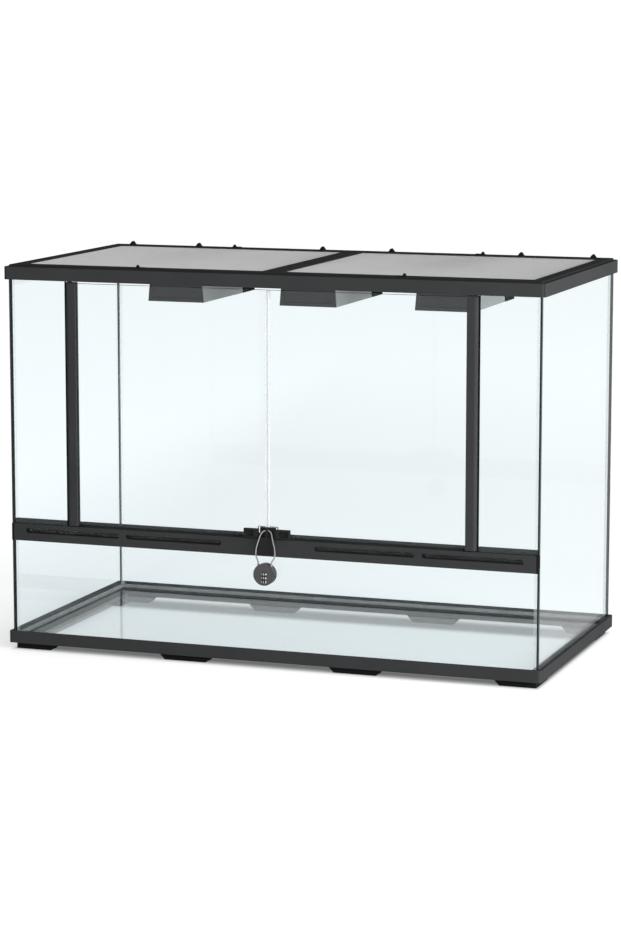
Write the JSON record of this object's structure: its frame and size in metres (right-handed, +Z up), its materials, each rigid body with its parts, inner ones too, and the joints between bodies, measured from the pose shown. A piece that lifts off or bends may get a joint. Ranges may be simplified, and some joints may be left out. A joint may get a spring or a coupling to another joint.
{
  "type": "glass terrarium",
  "caption": "Glass terrarium with two hinged front doors between side lights, vent rail, lift-out mesh lids, cable inlets, lamp hoods and a cable padlock.",
  "frame": {"origin": "middle of the footprint, on the surface that the feet stand on", "axes": "+Z up, +X to the right seen from the front, +Y towards the rear pane"},
  "size_m": [0.913, 0.479, 0.645],
  "materials": {
    "frame_plastic": "satin black",
    "dark_plastic": "matt black",
    "clear_glass": "clear float glass",
    "clear_silicone": "clear silicone",
    "clear_strip": "clear plastic",
    "woven_mesh": "grey woven wire",
    "bright_steel": "bright",
    "hood_sheet": "grey, satin",
    "white_ceramic": "plain white",
    "white_lamp": "opal white",
    "lock_metal": "satin black",
    "dial_plastic": "black"
  },
  "bodies": {
    "cabinet": {"base_frame": "frame_plastic", "corner_feet": "dark_plastic", "middle_feet": "dark_plastic", "floor_glass": "clear_glass", "left_glass": "clear_glass", "right_glass": "clear_glass", "rear_glass": "clear_glass", "front_lower_glass": "clear_glass", "left_sidelight_glass": "clear_glass", "right_sidelight_glass": "clear_glass", "corner_silicone": "clear_silicone", "floor_silicone": "clear_silicone", "vent_rail": "frame_plastic", "rail_end_caps": "dark_plastic", "vent_mesh_strips": "woven_mesh", "catch_block": "frame_plastic", "rail_magnets": "bright_steel", "top_frame": "frame_plastic", "centre_bar": "frame_plastic", "hinge_bushes": "dark_plastic", "sidelight_seals": "clear_silicone", "left_hood_shell": "hood_sheet", "middle_hood_shell": "hood_sheet", "right_hood_shell": "hood_sheet", "hood_front_caps": "dark_plastic", "hood_rear_boxes": "dark_plastic", "lampholders": "white_ceramic", "lamps": "white_lamp", "bracket_screws": "bright_steel"},
    "left_door": {"left_door_glass": "clear_glass", "left_stile": "frame_plastic", "left_hinge_pins": "bright_steel", "left_edge_strip": "clear_strip", "left_handle": "frame_plastic", "left_handle_magnet": "bright_steel"},
    "right_door": {"right_door_glass": "clear_glass", "right_stile": "frame_plastic", "right_hinge_pins": "bright_steel", "right_edge_strip": "clear_strip", "right_handle": "frame_plastic", "right_handle_magnet": "bright_steel"},
    "left_lid": {"left_lid_frame": "frame_plastic", "left_lid_mesh": "woven_mesh"},
    "right_lid": {"right_lid_frame": "frame_plastic", "right_lid_mesh": "woven_mesh"},
    "front_left_catch": {"front_left_catch": "frame_plastic"},
    "front_right_catch": {"front_right_catch": "frame_plastic"},
    "rear_left_catch": {"rear_left_catch": "frame_plastic"},
    "rear_right_catch": {"rear_right_catch": "frame_plastic"},
    "left_inlet_slider": {"left_inlet_slider": "frame_plastic"},
    "middle_inlet_slider": {"middle_inlet_slider": "frame_plastic"},
    "right_inlet_slider": {"right_inlet_slider": "frame_plastic"},
    "padlock": {"lock_front_shell": "lock_metal", "lock_rear_shell": "lock_metal", "dial_axle": "bright_steel", "lock_cable": "bright_steel", "cable_ferrules": "bright_steel"},
    "upper_dial": {"upper_dial": "dial_plastic"},
    "middle_dial": {"middle_dial": "dial_plastic"},
    "lower_dial": {"lower_dial": "dial_plastic"}
  },
  "joints": [
    {"name": "left_door_hinge", "type": "hinge", "parent": "cabinet", "child": "left_door", "pos_m": [-0.3425, -0.224, 0.2135], "axis": [0, 0, -1], "range_deg": [0, 100]},
    {"name": "right_door_hinge", "type": "hinge", "parent": "cabinet", "child": "right_door", "pos_m": [0.3425, -0.224, 0.2135], "axis": [0, 0, 1], "range_deg": [0, 100]},
    {"name": "left_lid_lift", "type": "slide", "parent": "cabinet", "child": "left_lid", "axis": [0, 0, 1], "range_m": [0, 0.08]},
    {"name": "right_lid_lift", "type": "slide", "parent": "cabinet", "child": "right_lid", "axis": [0, 0, 1], "range_m": [0, 0.08]},
    {"name": "front_left_catch_turn", "type": "hinge", "parent": "cabinet", "child": "front_left_catch", "pos_m": [-0.225, -0.217, 0.639], "axis": [0, 0, 1], "range_deg": [0, 90]},
    {"name": "front_right_catch_turn", "type": "hinge", "parent": "cabinet", "child": "front_right_catch", "pos_m": [0.225, -0.217, 0.639], "axis": [0, 0, -1], "range_deg": [0, 90]},
    {"name": "rear_left_catch_turn", "type": "hinge", "parent": "cabinet", "child": "rear_left_catch", "pos_m": [-0.225, 0.217, 0.639], "axis": [0, 0, -1], "range_deg": [0, 90]},
    {"name": "rear_right_catch_turn", "type": "hinge", "parent": "cabinet", "child": "rear_right_catch", "pos_m": [0.225, 0.217, 0.639], "axis": [0, 0, 1], "range_deg": [0, 90]},
    {"name": "left_inlet_slide", "type": "slide", "parent": "cabinet", "child": "left_inlet_slider", "axis": [1, 0, 0], "range_m": [0, 0.043]},
    {"name": "middle_inlet_slide", "type": "slide", "parent": "cabinet", "child": "middle_inlet_slider", "axis": [1, 0, 0], "range_m": [0, 0.043]},
    {"name": "right_inlet_slide", "type": "slide", "parent": "cabinet", "child": "right_inlet_slider", "axis": [-1, 0, 0], "range_m": [0, 0.043]},
    {"name": "padlock_swing", "type": "hinge", "parent": "cabinet", "child": "padlock", "pos_m": [0, -0.2295, 0.226], "axis": [-1, 0, 0], "range_deg": [0, 60]},
    {"name": "upper_dial_turn", "type": "hinge", "parent": "padlock", "child": "upper_dial", "pos_m": [0, -0.24, 0.1575], "axis": [0, 0, 1], "continuous": true},
    {"name": "middle_dial_turn", "type": "hinge", "parent": "padlock", "child": "middle_dial", "pos_m": [0, -0.24, 0.151], "axis": [0, 0, 1], "continuous": true},
    {"name": "lower_dial_turn", "type": "hinge", "parent": "padlock", "child": "lower_dial", "pos_m": [0, -0.24, 0.1445], "axis": [0, 0, 1], "continuous": true}
  ]
}
